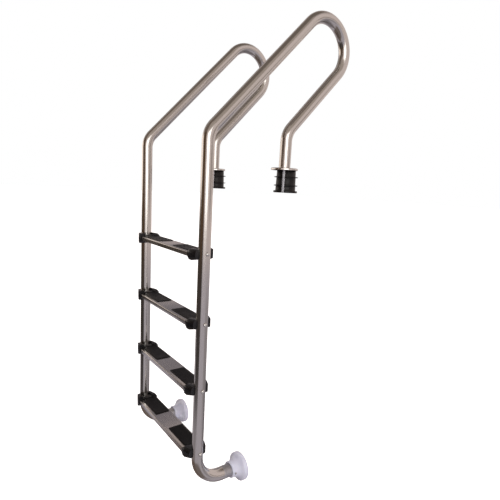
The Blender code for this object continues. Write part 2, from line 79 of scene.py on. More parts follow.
# Rails. Lengths are in metres.
TUBE_R = 0.0215
TUBE_WALL = 0.0015
TUBE_SIDES = 56
LEAN = math.radians(44.0)  # of the handrail from upright
BEND_R = 0.075
LOOP_R = 0.110
FRONT_SLOPE = 0.566  # straight run up to the loop
REAR_SLOPE = 0.312  # straight run down from it
LOWER_BEND_R = 0.108
BEND_ABOVE_BOLT = 0.374  # start of the front bend over the top bolt
RAIL_IN_FOOT = 0.035
RAIL_ABOVE_SLEEVE_END = 0.003
SWELL = 1.16  # the tube is this much wider past the lower bend
SWELL_START = math.radians(45.0)


# ---------------------------------------------------------------- mesh helpers

WELD = 0.00001


def mesh_from(bm, name):
    """Turn a bmesh into a mesh, faces outward."""
    bmesh.ops.recalc_face_normals(bm, faces=bm.faces[:])
    mesh = bpy.data.meshes.new(name)
    bm.to_mesh(mesh)
    bm.free()
    return mesh


def add(name, mesh):
    """Link a new object into the scene."""
    obj = bpy.data.objects.new(name, mesh)
    bpy.context.scene.collection.objects.link(obj)
    return obj


def smooth(mesh, angle=35.0):
    """Smooth shading, with edges sharper than an angle kept crisp."""
    mesh.shade_smooth()
    mesh.set_sharp_from_angle(angle=math.radians(angle))


def baked(obj):
    """Apply an object's modifiers to its mesh."""
    graph = bpy.context.evaluated_depsgraph_get()
    mesh = bpy.data.meshes.new_from_object(obj.evaluated_get(graph))
    obj.modifiers.clear()
    obj.data = mesh


def taken(obj):
    """Mesh of a finished working object, which is removed."""
    mesh = obj.data
    bpy.data.objects.remove(obj, do_unlink=True)
    return mesh


def combine(obj, other, operation):
    """Boolean with another mesh, then weld the seam."""
    helper = add("helper", other)
    modifier = obj.modifiers.new("combine", "BOOLEAN")
    modifier.operation = operation
    modifier.solver = "EXACT"
    modifier.object = helper
    baked(obj)
    bpy.data.objects.remove(helper, do_unlink=True)
    bm = bmesh.new()
    bm.from_mesh(obj.data)
    bmesh.ops.remove_doubles(bm, verts=bm.verts[:], dist=WELD)
    bm.to_mesh(obj.data)
    bm.free()


def bevel(obj, width, segments, angle):
    """Round the edges that are sharper than an angle in degrees."""
    modifier = obj.modifiers.new("bevel", "BEVEL")
    modifier.width = width
    modifier.segments = segments
    modifier.limit_method = "ANGLE"
    modifier.angle_limit = math.radians(angle)
    modifier.use_clamp_overlap = True
    modifier.harden_normals = False
    baked(obj)
    smooth(obj.data)


def prism(outline, start, end):
    """Bar along X with an outline of (y, z) points."""
    return pushed([(start, y, z) for y, z in outline], (end - start, 0.0, 0.0), "prism")


def slab(outline, low, high):
    """Plate whose plan is an outline of (x, y) points."""
    return pushed([(x, y, low) for x, y in outline], (0.0, 0.0, high - low), "slab")


def pushed(corners, way, name):
    """Solid swept from one flat face."""
    bm = bmesh.new()
    face = bm.faces.new([bm.verts.new(corner) for corner in corners])
    grown = bmesh.ops.extrude_face_region(bm, geom=[face])
    moved = [v for v in grown["geom"] if isinstance(v, bmesh.types.BMVert)]
    bmesh.ops.translate(bm, verts=moved, vec=way)
    return mesh_from(bm, name)


def block(size, matrix):
    """Box of a size, placed by a matrix."""
    bm = bmesh.new()
    bmesh.ops.create_cube(bm, size=1.0, matrix=matrix @ Matrix.Diagonal((*size, 1.0)))
    return mesh_from(bm, "block")


def arc(middle, radius, start, end, step=math.radians(3.0)):
    """Points on an arc, both ends included."""
    count = max(2, math.ceil(abs(end - start) / step))
    points = []
    for i in range(count + 1):
        a = start + (end - start) * i / count
        points.append((middle[0] + radius * math.cos(a), middle[1] + radius * math.sin(a)))
    return points


def loft(rings, closed_sweep, lengths, round_length):
    """Skin closed rings; UV is (distance round, distance along) in metres."""
    bm = bmesh.new()
    layer = bm.loops.layers.uv.new("UVMap")
    skins = [[bm.verts.new(p) for p in ring] for ring in rings]
    count = len(rings[0])
    total = len(skins) if closed_sweep else len(skins) - 1
    for i in range(total):
        a, b = skins[i], skins[(i + 1) % len(skins)]
        la, lb = lengths[i], lengths[i + 1]
        for k in range(count):
            n = (k + 1) % count
            face = bm.faces.new((a[k], a[n], b[n], b[k]))
            u0, u1 = k / count * round_length, (k + 1) / count * round_length
            for loop, uv in zip(face.loops, ((u0, la), (u1, la), (u1, lb), (u0, lb))):
                loop[layer].uv = uv
    return bm


def lathe(profile, sides, closed):
    """Solid of revolution about Z. Ends of an open profile are closed flat."""
    turns = [2 * math.pi * k / sides for k in range(sides)]
    rings, lengths, run = [], [0.0], 0.0
    previous = None
    for r, z in profile:
        rings.append([(r * math.cos(a), r * math.sin(a), z) for a in turns])
        if previous:
            run += math.dist(previous, (r, z))
            lengths.append(run)
        previous = (r, z)
    lengths.append(run + math.dist(profile[-1], profile[0]))
    widest = max(r for r, _ in profile)
    bm = loft(rings, closed, lengths, 2 * math.pi * widest)
    if not closed:
        bmesh.ops.edgeloop_fill(bm, edges=[e for e in bm.edges if e.is_boundary])
    return mesh_from(bm, "lathe")


# ------------------------------------------------------------------- materials

# Share by which a colour's dark and light patches differ from it
STEEL_TONES = 0.05
PLASTIC_TONES = 0.25

# Where the tube turns darker and matt: past the lower bend near the foot, and inside the anchor,
# where the darker colour is painted shade from the sleeve
DULL_FROM_Y = FOOT_LOW.y - 0.036
DULL_FULL_Y = FOOT_LOW.y - 0.033
DULL_BELOW_Z = (-0.99, -1.01)
SHADE_IN_ANCHOR_Z = (0.004, 0.000)
SHADE_ANCHOR_LEG_Y = (-0.05, -0.03)


class Nodes:
    """Small helper to write a material's node tree."""

    def __init__(self, name):
        self.material = bpy.data.materials.new(name)
        self.material.use_nodes = True
        self.tree = self.material.node_tree
        self.shader = self.tree.nodes["Principled BSDF"]

    def link(self, a, b):
        self.tree.links.new(a, b)

    def coords(self, kind, scale=(1.0, 1.0, 1.0)):
        """Texture coordinates of a kind, stretched by a scale."""
        source = self.tree.nodes.new("ShaderNodeTexCoord")
        mapping = self.tree.nodes.new("ShaderNodeMapping")
        mapping.inputs["Scale"].default_value = scale
        self.link(source.outputs[kind], mapping.inputs["Vector"])
        return mapping.outputs["Vector"]

    def noise(self, vector, scale, detail=3.0, roughness=0.55):
        """Noise from 0 to 1; scale counts its grains per metre."""
        node = self.tree.nodes.new("ShaderNodeTexNoise")
        node.inputs["Scale"].default_value = scale
        node.inputs["Detail"].default_value = detail
        node.inputs["Roughness"].default_value = roughness
        self.link(vector, node.inputs["Vector"])
        return node.outputs["Fac"]

    def ranged(self, value, low, high, out_low, out_high):
        """Stretch low..high to out_low..out_high, held at both ends."""
        node = self.tree.nodes.new("ShaderNodeMapRange")
        node.inputs["From Min"].default_value = low
        node.inputs["From Max"].default_value = high
        node.inputs["To Min"].default_value = out_low
        node.inputs["To Max"].default_value = out_high
        self.link(value, node.inputs["Value"])
        return node.outputs["Result"]

    def math(self, operation, a, b):
        node = self.tree.nodes.new("ShaderNodeMath")
        node.operation = operation
        for socket, value in zip(node.inputs, (a, b)):
            if isinstance(value, (int, float)):
                socket.default_value = value
            else:
                self.link(value, socket)
        return node.outputs["Value"]

    def ramp(self, value, stops):
        """Colour from (place, colour) stops."""
        node = self.tree.nodes.new("ShaderNodeValToRGB")
        ramp = node.color_ramp
        while len(ramp.elements) < len(stops):
            ramp.elements.new(0.5)
        for element, (place, colour) in zip(ramp.elements, stops):
            element.position = place
            element.color = (*colour, 1.0)
        self.link(value, node.inputs["Fac"])
        return node.outputs["Color"]

    def bump(self, height, strength, distance, after=None):
        """Surface relief, laid over an earlier bump if there is one."""
        node = self.tree.nodes.new("ShaderNodeBump")
        node.inputs["Strength"].default_value = strength
        node.inputs["Distance"].default_value = distance
        self.link(height, node.inputs["Height"])
        if after is not None:
            self.link(after, node.inputs["Normal"])
        return node.outputs["Normal"]

    def put(self, name, value):
        """Set a shader input to a value, or link a socket to it."""
        socket = self.shader.inputs[name]
        if isinstance(value, (int, float, tuple)):
            socket.default_value = value
        else:
            self.link(value, socket)

    def overlay(self, name, kind, value, weight):
        """Mix a second value over the one that feeds a shader input."""
        socket = self.shader.inputs[name]
        node = self.tree.nodes.new("ShaderNodeMix")
        node.data_type = kind
        self.link(socket.links[0].from_socket, node.inputs["A"])
        self.link(value, node.inputs["B"])
        self.link(weight, node.inputs["Factor"])
        self.link(node.outputs["Result"], socket)


def shades(colour, spread):
    """Darker, middle and lighter shade of a colour, as ramp stops."""
    low = tuple(c * (1.0 - spread) for c in colour)
    high = tuple(min(1.0, c * (1.0 + spread)) for c in colour)
    return [(0.30, low), (0.52, colour), (0.75, high)]


def steel(name, colour, roughness, kind, along, scratches):
    """Polished or brushed steel: large clouds, smears and fine lines along the metal."""
    n = Nodes(name)
    cloud = n.noise(n.coords(kind), 9.0, 4.0)
    smear = n.noise(n.coords(kind, along), 30.0, 4.0, 0.6)
    lines = n.noise(n.coords(kind, along), 900.0, 5.0, 0.7)
    n.put("Base Color", n.ramp(smear, shades(colour, STEEL_TONES)))
    mixed = n.math("ADD", n.math("MULTIPLY", cloud, 0.5), n.math("MULTIPLY", smear, 0.5))
    base = n.ranged(mixed, 0.35, 0.65, roughness * 0.82, roughness * 1.22)
    fine = n.ranged(lines, 0.3, 0.7, -0.12 * roughness, 0.12 * roughness)
    n.put("Roughness", n.math("ADD", base, fine))
    n.put("Normal", n.bump(lines, scratches, 0.0001))
    n.put("Metallic", 1.0)
    return n


def plastic(name, colour, roughness, grain_scale, grain, gloss):
    """Moulded black plastic or rubber: fine grain, faint flow marks, dulled patches."""
    n = Nodes(name)
    vector = n.coords("Object")
    flow = n.noise(vector, 35.0, 4.0, 0.6)
    grains = n.noise(vector, grain_scale, 2.0, 0.5)
    n.put("Base Color", n.ramp(flow, shades(colour, PLASTIC_TONES)))
    n.put("Roughness", n.ranged(flow, 0.3, 0.7, roughness * 0.85, roughness * 1.18))
    n.put("Normal", n.bump(flow, 0.12, 0.0006, n.bump(grains, grain, 0.00015)))
    n.put("Specular IOR Level", gloss)
    return n


def foot_rubber():
    """Milky translucent rubber."""
    n = Nodes("foot_rubber_look")
    vector = n.coords("Object")
    cloud = n.noise(vector, 28.0, 5.0, 0.6)
    grains = n.noise(vector, 1500.0, 2.0, 0.5)
    n.put("Base Color", n.ramp(cloud, [
        (0.30, (0.66, 0.68, 0.83)),
        (0.52, (0.74, 0.76, 0.91)),
        (0.75, (0.80, 0.82, 0.95)),
    ]))
    n.put("Roughness", n.ranged(cloud, 0.3, 0.7, 0.34, 0.48))
    n.put("Normal", n.bump(cloud, 0.15, 0.0008, n.bump(grains, 0.08, 0.0001)))
    n.put("Subsurface Weight", 0.35)
    n.put("Subsurface Radius", (1.0, 0.9, 0.9))
    n.put("Subsurface Scale", 0.006)
    n.put("IOR", 1.41)
    return n


def tube_steel():
    """Drawn tube: polished; darker and matt at the foot end, and darker inside the anchor as
    painted shade from the sleeve.
    """
    n = steel("tube_look", (0.60, 0.575, 0.55), 0.165, "UV", (40.0, 1.0, 1.0), 0.012)
    place = n.coords("Object")
    split = n.tree.nodes.new("ShaderNodeSeparateXYZ")
    n.link(place, split.inputs["Vector"])
    height, depth = split.outputs["Z"], split.outputs["Y"]
    past_bend = n.ranged(depth, DULL_FROM_Y, DULL_FULL_Y, 0.0, 1.0)
    near_foot = n.math("MULTIPLY", past_bend, n.ranged(height, *DULL_BELOW_Z, 0.0, 1.0))
    # Painted shade: below the deck, inside the anchor sleeve, the tube gets a darker colour that
    # stands in for the sleeve's shadow on it
    shade_height = n.ranged(height, *SHADE_IN_ANCHOR_Z, 0.0, 1.0)
    painted_anchor_shade = n.math("MULTIPLY", shade_height, n.ranged(depth, *SHADE_ANCHOR_LEG_Y, 0.0, 1.0))
    dull_and_painted_shade = n.math("MAXIMUM", near_foot, painted_anchor_shade)
    patches = n.noise(place, 130.0, 3.0, 0.6)
    dull_and_shade_colour = n.ramp(patches, [(0.35, (0.40, 0.40, 0.425)), (0.65, (0.58, 0.58, 0.61))])
    n.overlay("Roughness", "FLOAT", n.ranged(patches, 0.35, 0.65, 0.42, 0.60), dull_and_painted_shade)
    # The darker colour mixed in here is painted shade inside the anchor; near the foot the tube is
    # only made darker and matt
    n.overlay("Base Color", "RGBA", dull_and_shade_colour, dull_and_painted_shade)
    return n


EVEN = (6.0, 6.0, 6.0)
# Each look: colour, roughness, coordinates, stretch along the metal, scratch depth
STEELS = {
    "tread": ((0.56, 0.535, 0.52), 0.24, "Object", (1.0, 30.0, 30.0), 0.10),
    "cover": ((0.66, 0.64, 0.62), 0.20, "UV", (1.0, 40.0, 1.0), 0.04),
    "bolt": ((0.70, 0.69, 0.68), 0.20, "Object", EVEN, 0.03),
    "nut": ((0.58, 0.57, 0.56), 0.34, "Object", EVEN, 0.05),
    "screw": ((0.42, 0.42, 0.43), 0.36, "Object", EVEN, 0.05),
}
# Each look: colour, roughness, grains per metre, grain depth, gloss
PLASTICS = {
    "cap": ((0.006, 0.006, 0.0075), 0.27, 1400.0, 0.10, 0.45),
    "pad": ((0.0028, 0.0024, 0.0029), 0.42, 900.0, 0.30, 0.19),
    "sleeve": ((0.007, 0.0062, 0.006), 0.36, 1200.0, 0.10, 0.28),
}
LOOKS = {"rail": tube_steel().material, "foot": foot_rubber().material}
for look, values in STEELS.items():
    LOOKS[look] = steel(look + "_look", *values).material
for look, values in PLASTICS.items():
    LOOKS[look] = plastic(look + "_look", *values).material


def finish(obj, kind, body, node):
    """Give a piece its material, in its one slot, and its body, and hide the CAD node that it
    stands for.
    """
    obj.data.materials.clear()
    obj.data.materials.append(LOOKS[kind])
    for polygon in obj.data.polygons:
        polygon.material_index = 0
    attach(obj, body)
    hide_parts(node)


def placed(name, mesh, location, turned_round):
    """Copy of a mesh moved into place, so that its grain differs from its neighbour's."""
    copy = mesh.copy()
    spin = Matrix.Rotation(math.pi, 4, "Z") if turned_round else Matrix.Identity(4)
    copy.transform(Matrix.Translation(location) @ spin)
    return add(name, copy)


# ----------------------------------------------------------------------- rails


def straight(start, end, pieces):
    """Points that divide a straight run, its two ends left out."""
    points = []
    for i in range(1, pieces):
        t = i / pieces
        points.append((start[0] + (end[0] - start[0]) * t, start[1] + (end[1] - start[1]) * t))
    return points


def rail_points():
    """Centreline (y, z), from the foot end round the lower bend to the anchor."""
    turn = (RAIL_Y + LOWER_BEND_R, FOOT_Z + LOWER_BEND_R)
    start = (FOOT_LOW.y + RAIL_IN_FOOT, FOOT_Z)
    bend = arc(turn, LOWER_BEND_R, 1.5 * math.pi, math.pi)
    points = [start] + straight(start, bend[0], 6) + bend
    top = STEP_Z[0] + BEND_ABOVE_BOLT
    front = arc((RAIL_Y + BEND_R, top), BEND_R, math.pi, math.pi - LEAN)
    points += straight(points[-1], front[0], 16) + front
    along = Vector((math.sin(LEAN), math.cos(LEAN)))
    across = Vector((math.cos(LEAN), -math.sin(LEAN)))
    loop_start = Vector(points[-1]) + along * FRONT_SLOPE
    loop = arc(loop_start + across * LOOP_R, LOOP_R, math.pi - LEAN, -LEAN)
    points += straight(points[-1], loop[0], 10) + loop
    slope_end = Vector(loop[-1]) - along * REAR_SLOPE
    rear = arc(slope_end + across * BEND_R, BEND_R, math.pi - LEAN, math.pi)
    points += straight(points[-1], rear[0], 6) + rear
    end = (rear[-1][0], SLEEVE_LOW.z + RAIL_ABOVE_SLEEVE_END)
    points += straight(points[-1], end, 4) + [end]
    return points


def rail_radius(y, z):
    """Outer radius, which swells round the lower bend and keeps the width to the foot."""
    turn = (RAIL_Y + LOWER_BEND_R, FOOT_Z + LOWER_BEND_R)
    if z > turn[1]:
        return TUBE_R
    if y > turn[0]:
        return TUBE_R * SWELL
    angle = math.atan2(turn[1] - z, turn[0] - y)
    share = (angle - SWELL_START) / (math.radians(90.0) - SWELL_START)
    share = min(max(share, 0.0), 1.0)
    return TUBE_R * (1.0 + (SWELL - 1.0) * share * share * (3.0 - 2.0 * share))


def rail_mesh():
    """Tube with its bore, swept along the centreline."""
    points = rail_points()
    outer, inner, run, lengths = [], [], 0.0, []
    for i, (y, z) in enumerate(points):
        before = points[max(i - 1, 0)]
        after = points[min(i + 1, len(points) - 1)]
        t = Vector((after[0] - before[0], after[1] - before[1])).normalized()
        if i:
            run += math.dist(points[i - 1], (y, z))
        lengths.append(run)
        r = rail_radius(y, z)
        for rings, radius in ((outer, r), (inner, r - TUBE_WALL)):
            ring = []
            for k in range(TUBE_SIDES):
                a = 2 * math.pi * k / TUBE_SIDES
                side = radius * math.sin(a)
                ring.append((radius * math.cos(a), y - t.y * side, z + t.x * side))
            rings.append(ring)
    rings = outer + inner[::-1]
    spans = lengths + lengths[::-1] + [lengths[0]]
    bm = loft(rings, True, spans, 2 * math.pi * TUBE_R)
    mesh = mesh_from(bm, "rail")
    smooth(mesh, 50.0)
    return mesh


def build_rails():
    mesh = rail_mesh()
    for label, side in SIDES.items():
        rail = placed("tube_" + label, mesh, (side * RAIL_X, 0.0, 0.0), False)
        finish(rail, "rail", "ladder", "rail_" + label)


# ----------------------------------------------------------------------- steps

TREAD_HALF = 0.041
TREAD_TOP = 0.0027
TREAD_FLANGE = 0.0165
TREAD_SHEET = 0.0015
TREAD_FOLD = 0.0030
TREAD_BEVEL = 0.0004
FLAT_GUARD = 0.0006  # support points this far past each fold keep the flats flat in shading

PAD_FRONT, PAD_REAR = -0.027, 0.035
PAD_CUT = 0.0125
PAD_CORNER_R = 0.0025
PAD_MARGIN = 0.004
PAD_TIP_MARGIN = 0.002
GROOVE_WIDTH = 0.0011
GROOVE_DEPTH = 0.0009
GROOVE_PITCH = 0.0040
GROOVE_FIRST = 0.0055
GROOVE_LAST = 0.0045
PAD_BEVEL = 0.00030

# End cap: X runs from the rail's axis at 0 to the tread on the negative side
CAP_STEP = -0.036
CAP_TAPER = -0.026
CAP_HALF = 0.0450
CAP_TOP = 0.0143
CAP_BOTTOM = -0.0262
CAP_RAIL_HALF = 0.0355
CAP_RAIL_BOTTOM = -0.0185
CAP_CROWN_R = 0.0140
CAP_CORNER_R = 0.0130
CAP_SQUARE_R = 0.0020
CAP_BEVEL = 0.0007
NOTCH_HALF = 0.0205
NOTCH_FLOOR = 0.0074
COLLAR_START, COLLAR_END = -0.0425, -0.025
COLLAR_HALF = 0.0437
COLLAR_TOP = 0.0070
COLLAR_BOTTOM = -0.0178
COLLAR_CORNER_R = 0.0060
POCKET_GROWTH = 0.0005
PLUG_START, PLUG_END = -0.062, -0.032
PLUG_HALF = 0.039
PLUG_BOTTOM = -0.014
PLUG_TOP = 0.0008
PLUG_CHAMFER = 0.0045
GAP = 0.0003
CLEAR = 0.06  # cutters reach at least this far

BOLT_R = 0.0040
BOLT_CHAMFER = 0.0006
BOLT_HEAD_R = 0.0070
BOLT_HEAD_H = 0.0044
BOLT_DOME = (math.radians(14.0), math.radians(68.0))
BOLT_SOCKET_FLATS = 0.0042
BOLT_SOCKET_DEPTH = 0.0022


def channel(half, top, low, fold):
    """Outline of a folded sheet as (y, z), front flange to rear flange."""
    near = FLAT_GUARD
    points = [(-half, low), (-half, top - fold - near)]
    points += arc((-half + fold, top - fold), fold, math.pi, math.pi / 2, math.radians(9))
    points += [(-half + fold + near, top), (half - fold - near, top)]
    points += arc((half - fold, top - fold), fold, math.pi / 2, 0.0, math.radians(9))
    points += [(half, top - fold - near), (half, low)]
    return points


def tread_mesh():
    """Sheet channel, open below."""
    low = TREAD_TOP - TREAD_FLANGE
    outer = channel(TREAD_HALF, TREAD_TOP, low, TREAD_FOLD)
    half = TREAD_HALF - TREAD_SHEET
    inner = channel(half, TREAD_TOP - TREAD_SHEET, low, TREAD_FOLD - TREAD_SHEET)
    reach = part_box("step_1_tread")[1].x
    tread = add("tread", prism(outer + inner[::-1], -reach, reach))
    bevel(tread, TREAD_BEVEL, 2, 60.0)
    return taken(tread)


def pad_mesh(side):
    """Grip pad with a plain border and low ribs along its length."""
    low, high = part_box("step_1_pad_right")
    length = high.x - low.x
    thick = high.z - low.z
    r = PAD_CORNER_R
    outline = arc((r, PAD_FRONT + r), r, math.pi, 1.5 * math.pi, math.radians(20))
    outline += [(length - PAD_CUT, PAD_FRONT), (length, PAD_FRONT + PAD_CUT)]
    outline += [(length, PAD_REAR - PAD_CUT), (length - PAD_CUT, PAD_REAR)]
    outline += arc((r, PAD_REAR - r), r, 0.5 * math.pi, math.pi, math.radians(20))
    pad = add("pad", slab(outline, 0.0, thick))
    y = PAD_FRONT + GROOVE_FIRST
    while y < PAD_REAR - GROOVE_LAST:
        cut = PAD_CUT if min(y - PAD_FRONT, PAD_REAR - y) < PAD_CUT else PAD_MARGIN
        size = (length - cut - PAD_MARGIN - PAD_TIP_MARGIN, GROOVE_WIDTH, GROOVE_DEPTH)
        middle = (PAD_MARGIN + size[0] / 2, y, thick)
        combine(pad, block(size, Matrix.Translation(middle)), "DIFFERENCE")
        y += GROOVE_PITCH
    pad.data.transform(Matrix.Diagonal((side, 1.0, 1.0, 1.0)))
    if side < 0.0:
        pad.data.flip_normals()
    bevel(pad, PAD_BEVEL, 2, 40.0)
    return taken(pad)


def cap_outline(half, top, bottom, crown, corner):
    """Outline as (y, z): rounded towards -Y, nearly square towards +Y."""
    s = CAP_SQUARE_R
    points = arc((-half + crown, top - crown), crown, math.pi / 2, math.pi, math.radians(6))
    low_corner = (-half + corner, bottom + corner)
    points += arc(low_corner, corner, math.pi, 1.5 * math.pi, math.radians(8))
    points += arc((half - s, bottom + s), s, 1.5 * math.pi, 2 * math.pi, math.radians(25))
    points += arc((half - s, top - s), s, 0.0, math.pi / 2, math.radians(25))
    return points


def narrowed_bar(outline, stations):
    """Solid along X; each (x, width, depth) station scales the outline's Y and its Z below 0."""
    bm = bmesh.new()
    rings = []
    for x, width, depth in stations:
        ring = [(x, y * width, z * depth if z < 0.0 else z) for y, z in outline]
        rings.append([bm.verts.new(point) for point in ring])
    for near, far in zip(rings, rings[1:]):
        for i in range(len(outline)):
            j = (i + 1) % len(outline)
            bm.faces.new((near[i], near[j], far[j], far[i]))
    bm.faces.new(rings[0])
    bm.faces.new(rings[-1])
    return mesh_from(bm, "narrowed_bar")


def round_bar(radius, start, end, sides):
    """Cylinder along Z, used only as a cutter."""
    bm = bmesh.new()
    bmesh.ops.create_cone(
        bm,
        cap_ends=True,
        segments=sides,
        radius1=radius,
        radius2=radius,
        depth=abs(end - start),
        matrix=Matrix.Translation((0.0, 0.0, 0.5 * (start + end))),
    )
    return mesh_from(bm, "bar")


def hexagon(flats, start, end):
    """Six-sided bar along X, given its width across flats."""
    r = flats / math.sqrt(3.0)
    outline = []
    for i in range(6):
        a = math.radians(60.0 * i)
        outline.append((r * math.cos(a), r * math.sin(a)))
    return prism(outline, start, end)


def cap_mesh():
    """End cap: two cheeks that hug the rail, a tread pocket and the plug under the tread."""
    outline = cap_outline(CAP_HALF, CAP_TOP, CAP_BOTTOM, CAP_CROWN_R, CAP_CORNER_R)
    at_rail = (0.0, CAP_RAIL_HALF / CAP_HALF, CAP_RAIL_BOTTOM / CAP_BOTTOM)
    stations = [(CAP_STEP, 1.0, 1.0), (CAP_TAPER, 1.0, 1.0), at_rail]
    cap = add("cap", narrowed_bar(outline, stations))
    notch = [(-CLEAR, -NOTCH_HALF), (0.0, -NOTCH_HALF), (0.0, NOTCH_HALF), (-CLEAR, NOTCH_HALF)]
    combine(cap, slab(notch, NOTCH_FLOOR, CLEAR), "DIFFERENCE")
    collar = cap_outline(COLLAR_HALF, COLLAR_TOP, COLLAR_BOTTOM, CAP_SQUARE_R, COLLAR_CORNER_R)
    combine(cap, prism(collar, COLLAR_START, COLLAR_END), "UNION")
    grow = POCKET_GROWTH
    low = TREAD_TOP - TREAD_FLANGE - grow
    pocket = channel(TREAD_HALF + grow, TREAD_TOP + grow, low, TREAD_FOLD)
    pocket_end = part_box("step_1_tread")[1].x - RAIL_X + GAP
    combine(cap, prism(pocket, COLLAR_START - 0.01, pocket_end), "DIFFERENCE")
    slope = PLUG_TOP - PLUG_CHAMFER
    plug = [(-PLUG_HALF, PLUG_BOTTOM), (PLUG_HALF, PLUG_BOTTOM), (PLUG_HALF, slope)]
    plug += [(PLUG_HALF - PLUG_CHAMFER, PLUG_TOP), (PLUG_CHAMFER - PLUG_HALF, PLUG_TOP)]
    plug += [(-PLUG_HALF, slope)]
    combine(cap, prism(plug, PLUG_START, PLUG_END), "UNION")
    combine(cap, round_bar(TUBE_R + GAP, -CLEAR, CLEAR, 96), "DIFFERENCE")
    bevel(cap, CAP_BEVEL, 3, 35.0)
    return taken(cap)


def bolt_mesh():
    """Button-head bolt along X with a hexagon socket."""
    low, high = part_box("step_1_bolt_right")
    tip, top = low.x - RAIL_X, high.x - RAIL_X
    seat = top - BOLT_HEAD_H
    profile = [(BOLT_R - BOLT_CHAMFER, tip), (BOLT_R, tip + BOLT_CHAMFER), (BOLT_R, seat)]
    profile += [(BOLT_HEAD_R - 0.0006, seat), (BOLT_HEAD_R - 0.0002, seat + 0.0004)]
    first, last = BOLT_DOME
    for i in range(7):
        a = first + (last - first) * i / 6
        rise = BOLT_HEAD_H * math.sin(a) / math.sin(last)
        profile.append((BOLT_HEAD_R * math.cos(a), seat + rise))
    body = lathe(profile, 40, False)
    body.transform(Matrix.Rotation(math.radians(90.0), 4, "Y"))
    bolt = add("bolt", body)
    socket = hexagon(BOLT_SOCKET_FLATS, top - BOLT_SOCKET_DEPTH, top + 0.01)
    combine(bolt, socket, "DIFFERENCE")
    bevel(bolt, 0.00015, 1, 50.0)
    return taken(bolt)


def build_steps():
    tread, cap, bolt = tread_mesh(), cap_mesh(), bolt_mesh()
    pads = {label: pad_mesh(side) for label, side in SIDES.items()}
    pad_low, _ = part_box("step_1_pad_right")
    for n, level in zip(STEPS, STEP_Z):
        step = "step_%d_" % n
        piece = placed("sheet_%d" % n, tread, (0.0, RAIL_Y, level), False)
        finish(piece, "tread", "ladder", step + "tread")
        for label, side in SIDES.items():
            joint = (side * RAIL_X, RAIL_Y, level)
            turn = side < 0.0
            spot = (side * pad_low.x, RAIL_Y, level + pad_low.z - STEP_Z[0])
            name = "_%d_%s" % (n, label)
            piece = placed("endcap" + name, cap, joint, turn)
            finish(piece, "cap", "ladder", step + "cap_" + label)
            piece = placed("button_bolt" + name, bolt, joint, turn)
            finish(piece, "bolt", "ladder", step + "bolt_" + label)
            piece = placed("grip" + name, pads[label], spot, False)
            finish(piece, "pad", "ladder", step + "pad_" + label)
            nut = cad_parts[step + "nut_" + label]
            nut.data.materials.clear()
            nut.data.materials.append(LOOKS["nut"])


# ------------------------------------------------------------------------ feet


FOOT_BORE_R = 0.0256
FOOT_BORE_DEPTH = 0.034
FOOT_COLLAR_R = 0.0320
FOOT_COLLAR_LENGTH = 0.0140
FOOT_RIM_R = 0.0555
FOOT_RIM_LENGTH = 0.0190

SCREW_R = 0.0020
SCREW_HEAD_R = 0.0042
SCREW_HEAD_H = 0.0026
SCREW_SLOT = (0.0024, 0.0050, 0.0008)


def foot_mesh():
    """Bell-shaped foot along its own axis, from its open collar to its face."""
    face = FOOT_HIGH.y - FOOT_LOW.y
    bore, collar, rim = FOOT_BORE_R, FOOT_COLLAR_R, FOOT_RIM_R
    end = FOOT_COLLAR_LENGTH
    profile = [(bore, FOOT_BORE_DEPTH), (bore, 0.0010), (bore + 0.0006, 0.0)]
    profile += [(collar - 0.0012, 0.0), (collar - 0.0004, 0.0004), (collar, 0.0012)]
    profile += [(collar, end), (collar + 0.0004, end + 0.0025), (collar + 0.0012, end + 0.0055)]
    profile += [(0.0346, 0.0225), (0.0368, 0.0258), (0.0396, 0.0288)]
    profile += [(0.0425, 0.0318), (0.0465, 0.0340), (0.0505, 0.0360)]
    back = face - FOOT_RIM_LENGTH
    profile += [(rim - 0.0027, back - 0.0010), (rim - 0.0015, back), (rim - 0.0006, back + 0.0012)]
    profile += [(rim - 0.0001, back + 0.0030), (rim, face - 0.0060), (rim - 0.0003, face - 0.0030)]
    profile += [(rim - 0.0011, face - 0.0010), (rim - 0.0025, face), (0.0430, face)]
    profile += [(0.0416, face - 0.0006), (0.0370, face - 0.0040), (0.0320, face - 0.0070)]
    profile += [(0.0200, face - 0.0090), (0.0080, face - 0.0099)]
    mesh = lathe(profile, 72, False)
    mesh.transform(Matrix.Rotation(math.radians(-90.0), 4, "X"))
    smooth(mesh, 45.0)
    return mesh


def screw_mesh():
    """Small pan-head screw along X with a cross slot."""
    low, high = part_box("foot_screw_right")
    tip, top = low.x - RAIL_X, high.x - RAIL_X
    seat = top - SCREW_HEAD_H
    edge = SCREW_HEAD_R
    profile = [(0.0010, tip), (SCREW_R, tip + 0.002), (SCREW_R, seat), (edge - 0.0002, seat)]
    profile += [(edge, seat + 0.0003), (edge, seat + 0.0011), (edge - 0.0006, seat + 0.0020)]
    profile += [(0.0024, seat + 0.0025), (0.0010, top)]
    mesh = lathe(profile, 28, False)
    mesh.transform(Matrix.Rotation(math.radians(90.0), 4, "Y"))
    screw = add("screw", mesh)
    for turn in (0.0, 90.0):
        spin = Matrix.Rotation(math.radians(turn), 4, "X")
        place = Matrix.Translation((top, 0, 0)) @ spin
        combine(screw, block(SCREW_SLOT, place), "DIFFERENCE")
    smooth(screw.data, 40.0)
    return taken(screw)


def build_feet():
    foot, screw = foot_mesh(), screw_mesh()
    screw_y = centre("foot_screw_right").y
    for label, side in SIDES.items():
        x = side * RAIL_X
        piece = placed("wall_foot_" + label, foot, (x, FOOT_LOW.y, FOOT_Z), False)
        finish(piece, "foot", "ladder", "foot_" + label)
        piece = placed("pan_screw_" + label, screw, (x, screw_y, FOOT_Z), side < 0.0)
        finish(piece, "screw", "ladder", "foot_screw_" + label)


# --------------------------------------------------------------------- anchors


